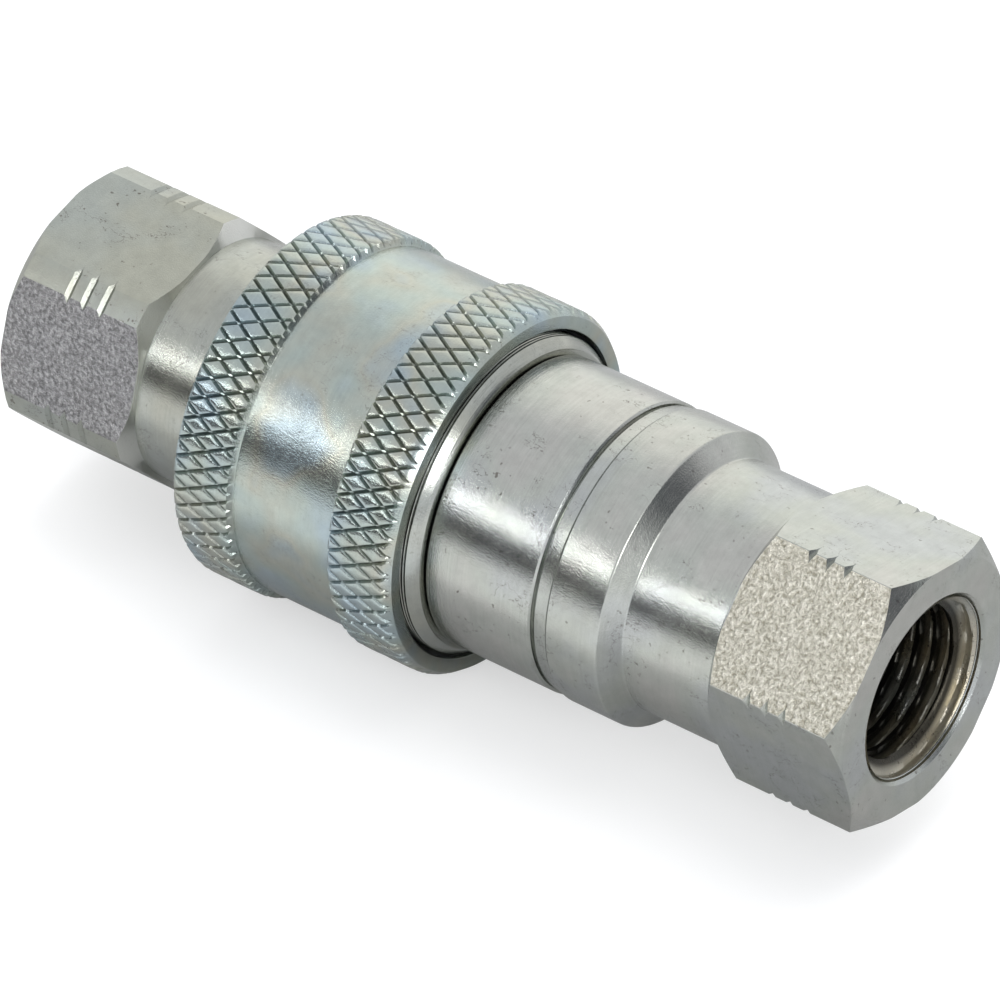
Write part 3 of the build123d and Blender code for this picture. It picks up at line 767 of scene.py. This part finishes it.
# ---- Pieces and their materials ------------------------------------------------------------
RAINBOW = [
    (0.32, (0.34, 0.44, 0.49)),
    (0.45, (0.38, 0.45, 0.40)),
    (0.56, (0.44, 0.44, 0.35)),
    (0.68, (0.33, 0.42, 0.46)),
]
PALE = [(0.35, (0.47, 0.465, 0.43)), (0.50, (0.43, 0.455, 0.41)), (0.65, (0.42, 0.445, 0.45))]
OLIVE = [(0.35, (0.40, 0.40, 0.33)), (0.65, (0.36, 0.39, 0.37))]
THREAD_TINTS = [(0.35, (0.36, 0.38, 0.38)), (0.65, (0.52, 0.46, 0.34))]

plug_body = build_plug_body()
plug_adapter = build_plug_adapter()
socket_adapter = build_socket_adapter()
sleeve = build_sleeve()
collar = build_front_collar()
plug_thread = thread("plug_port_thread", PLUG_END, -1, "plug")
socket_thread = thread("socket_port_thread", SOCKET_END, 1, "socket")

# Painted shade in the knurl grooves, darkest at the groove bottoms.
knurl_painted_shades = [
    (REAR_KNURL_RADIUS - 0.29, REAR_KNURL_RADIUS - 0.05, 0.7, SLEEVE_REAR + 0.15, SLEEVE_BAND_START - 0.35),
    (SLEEVE_RADIUS - 0.30, SLEEVE_RADIUS - 0.06, 0.7, SLEEVE_BAND_END + 0.35, SLEEVE_FRONT - 0.75),
]
dress(sleeve, plated_steel("sleeve_zinc", (0.41, 0.44, 0.43), RAINBOW, roughness=0.2, rings=0.6, grain=0.7,
                           spots=0.35, painted_shades=knurl_painted_shades))
dress(plug_body, plated_steel("plug_zinc", (0.45, 0.455, 0.43), PALE, roughness=0.2, rings=1.0, grain=0.5,
                              spots=0.9))
# Its rough flat mixes its own tone with painted shade in the grain's hollows and a painted highlight on the
# tops.
dress(plug_adapter, plated_steel("plug_hex_zinc", (0.455, 0.46, 0.43), PALE, roughness=0.22, rings=0.8,
                                 grain=0.5, spots=0.7,
                                 rough_face=(PLUG_HEX_TURN + 30, PLUG_HEX_START + 0.2, PLUG_END - 0.02),
                                 rough_tones_and_painted_light=((0.40, 0.37, 0.28), (0.98, 0.94, 0.82))))
# Its rough flat mixes its own tone with painted shade in the grain's hollows and a painted highlight on the
# tops.
dress(socket_adapter, plated_steel("socket_hex_zinc", (0.37, 0.38, 0.34), OLIVE, roughness=0.3, rings=0.4,
                                   grain=0.8, spots=0.9,
                                   rough_face=(SOCKET_HEX_TURN + 30, SOCKET_END + 0.02, SOCKET_JOINT - 0.1),
                                   rough_tones_and_painted_light=((0.17, 0.165, 0.17), (0.52, 0.51, 0.52)),
                                   # The back chamfer gets a painted highlight.
                                   painted_highlight_from=SOCKET_JOINT - SOCKET_BACK_CHAMFER - 0.05))
dress(collar, plated_steel("collar_zinc", (0.42, 0.43, 0.41), OLIVE, roughness=0.18, rings=1.0, grain=0.3,
                           spots=0.3))
dress(frame["nodes"]["socket_body"], plated_steel("socket_zinc", (0.40, 0.41, 0.38), OLIVE, roughness=0.22,
                                                  rings=1.0, grain=0.5, spots=0.6))
# Painted shade on the port threads, darkest towards their small radius.
thread_material = plated_steel("thread_zinc", (0.55, 0.53, 0.45), THREAD_TINTS, roughness=0.28, rings=0.8,
                               grain=1.5, spots=0.9,
                               painted_shades=[(THREAD_CREST + 0.35, THREAD_ROOT - 0.25, 0.12, SOCKET_END, PLUG_END)])
dress(plug_thread, thread_material)
dress(socket_thread, thread_material)
slot_materials = {
    "spring_steel": bare_metal("spring_wire", (0.45, 0.45, 0.46), roughness=0.3, wear=0.5),
    "valve_steel": bare_metal("valve_turned", (0.60, 0.60, 0.58), roughness=0.28, wear=0.6),
    "ball_steel": bare_metal("ball_polished", (0.75, 0.75, 0.76), roughness=0.06, wear=0.05),
    "seal_rubber": soft_material("seal_nitrile", (0.03, 0.03, 0.03), roughness=0.55, bumps=1.0),
    "seal_plastic": soft_material("seal_ptfe", (0.82, 0.82, 0.78), roughness=0.4, bumps=0.6),
}
for row in frame["record"]["subparts"]:
    if row["material_slot"] in slot_materials:
        dress(frame["nodes"][row["node"]], slot_materials[row["material_slot"]])


# ---- Studio, metres ------------------------------------------------------------------------
FLOOR_HALF = 3.0
LIGHT_DISTANCE = 2.0
WINDOW_WAY = Vector((-0.472, -0.783, 0.404))         # front left, which the cylinders mirror
FRONT_PANEL_WAY = Vector((0.72, -0.50, 0.50))
OVERHEAD_PLACE = (0.1, 0.3, 1.6)
CARD_WAY = Vector((-0.472, -0.88, 0)).normalized()
CARD_DISTANCE = 0.30
CARD_HALF_WIDTH = 0.45
CARD_HEIGHT = 0.105
# Grey floor card: painted shadow of the floor around the part, seen only in reflections.
FLOOR_CARD_HALF = 0.5
FLOOR_CARD_FRONT = -0.028
FLOOR_CARD_BACK = 0.30
FLOOR_CARD_LIFT = 0.0002

CAMERA_AZIMUTH = radians(37.0)
CAMERA_ELEVATION = radians(38.3)
CAMERA_DISTANCE = 0.6745
CAMERA_LENS = 349.3               # millimetres, on a sensor 36 mm wide
CAMERA_AIM = Vector((0.0004, 0, -0.0008))            # from the middle of the part

low, high = cad_box
centre = (Vector(low) + Vector(high)) / 2
ground = low[2]


def flat_sheet(name, corner, along, across, material):
    """Rectangle from one corner and its two sides."""
    corner, along, across = Vector(corner), Vector(along), Vector(across)
    mesh = bpy.data.meshes.new(name)
    mesh.from_pydata([corner, corner + along, corner + along + across, corner + across], [], [(0, 1, 2, 3)])
    sheet = link(name, mesh)
    mesh.materials.append(material)
    return sheet


def matte(name, colour, glow=0.0):
    material = bpy.data.materials.new(name)
    material.use_nodes = True
    shader = material.node_tree.nodes["Principled BSDF"]
    shader.inputs["Base Color"].default_value = (*colour, 1)
    shader.inputs["Roughness"].default_value = 0.9
    shader.inputs["Emission Color"].default_value = (*colour, 1)
    shader.inputs["Emission Strength"].default_value = glow
    return material


def softbox(name, position, target, width, height, power):
    lamp = bpy.data.lights.new(name, "AREA")
    lamp.shape = "RECTANGLE"
    lamp.size = width
    lamp.size_y = height
    lamp.energy = power
    box = bpy.data.objects.new(name, lamp)
    bpy.context.scene.collection.objects.link(box)
    box.location = position
    box.rotation_euler = (Vector(target) - Vector(position)).to_track_quat("-Z", "Y").to_euler()
    return box


def sky_glow(tree, sky_way, way, width, colour, base):
    """Sky colour with a soft patch of another brightness, width degrees around a direction."""
    closeness = tree.nodes.new("ShaderNodeVectorMath")
    closeness.operation = "DOT_PRODUCT"
    tree.links.new(sky_way, closeness.inputs[0])
    closeness.inputs[1].default_value = Vector(way).normalized()
    spread = tree.nodes.new("ShaderNodeMapRange")
    spread.interpolation_type = "SMOOTHSTEP"
    tree.links.new(closeness.outputs["Value"], spread.inputs["Value"])
    spread.inputs["From Min"].default_value = cos(radians(width))
    spread.inputs["From Max"].default_value = 1.0
    mix = tree.nodes.new("ShaderNodeMix")
    mix.data_type = "RGBA"
    tree.links.new(spread.outputs["Result"], mix.inputs["Factor"])
    far, near = [socket for socket in mix.inputs if socket.type == "RGBA"]
    if hasattr(base, "is_output"):
        tree.links.new(base, far)
    else:
        far.default_value = (*base, 1)
    near.default_value = (*colour, 1)
    return [socket for socket in mix.outputs if socket.type == "RGBA"][0]


def build_sky():
    """Even sky with a bright patch behind the part and a dark corner to the right."""
    world = bpy.data.worlds.new("studio")
    bpy.context.scene.world = world
    world.use_nodes = True
    tree = world.node_tree
    sky_way = tree.nodes.new("ShaderNodeTexCoord").outputs["Generated"]
    sky = sky_glow(tree, sky_way, (-0.47, 0.80, 0.42), 45, (1.45, 1.45, 1.42), (0.92, 0.94, 0.98))
    sky = sky_glow(tree, sky_way, (0.90, 0.30, 0.30), 32, (0.10, 0.11, 0.13), sky)
    background = tree.nodes["Background"]
    tree.links.new(sky, background.inputs["Color"])
    background.inputs["Strength"].default_value = 1.0


def build_lights():
    """Narrow window, a panel that only the chamfers facing it mirror, and a light from above."""
    softbox("window", WINDOW_WAY * LIGHT_DISTANCE, centre, width=1.4, height=0.10, power=4.0)
    softbox("front_panel", FRONT_PANEL_WAY * LIGHT_DISTANCE, centre, width=0.8, height=0.8, power=13.0)
    overhead = softbox("overhead", OVERHEAD_PLACE, centre, width=1.2, height=1.2, power=10.0)
    overhead.visible_glossy = False


def build_cards():
    """A dark card that stands below the window, and a grey one on the floor, seen only in reflections.
    The grey card is painted shadow: it stands in for the floor's shade around the part.
    """
    side = Vector((CARD_WAY.y, -CARD_WAY.x, 0))
    foot = CARD_WAY * CARD_DISTANCE + Vector((0, 0, ground))
    dark_card = flat_sheet("dark_card", foot - side * CARD_HALF_WIDTH, side * 2 * CARD_HALF_WIDTH,
                           (0, 0, CARD_HEIGHT), matte("card_black", (0.01, 0.01, 0.012)))
    # Grey card as painted shadow of the floor around the part.
    floor_shadow_card = flat_sheet("floor_shadow_card", (-FLOOR_CARD_HALF, FLOOR_CARD_FRONT, ground + FLOOR_CARD_LIFT),
                            (2 * FLOOR_CARD_HALF, 0, 0), (0, FLOOR_CARD_BACK - FLOOR_CARD_FRONT, 0),
                            matte("card_shadow_grey", (0.50, 0.50, 0.50)))
    for card in (dark_card, floor_shadow_card):
        card.visible_camera = False
        card.visible_diffuse = False
        card.visible_shadow = False


def build_camera():
    settings = bpy.data.cameras.new("camera")
    settings.sensor_width = 36
    settings.lens = CAMERA_LENS
    settings.clip_start = 0.01
    settings.clip_end = 20
    camera = bpy.data.objects.new("camera", settings)
    bpy.context.scene.collection.objects.link(camera)
    level = cos(CAMERA_ELEVATION)
    back = Vector((sin(CAMERA_AZIMUTH) * level, -cos(CAMERA_AZIMUTH) * level, sin(CAMERA_ELEVATION)))
    camera.location = centre + CAMERA_AIM + back * CAMERA_DISTANCE
    camera.rotation_euler = (-back).to_track_quat("-Z", "Y").to_euler()
    bpy.context.scene.camera = camera


flat_sheet("floor", (-FLOOR_HALF, -FLOOR_HALF, ground), (2 * FLOOR_HALF, 0, 0), (0, 2 * FLOOR_HALF, 0),
           matte("floor_white", (0.52, 0.52, 0.52), 0.95))
build_sky()
build_lights()
build_cards()
build_camera()
bpy.context.scene.view_settings.view_transform = "Standard"
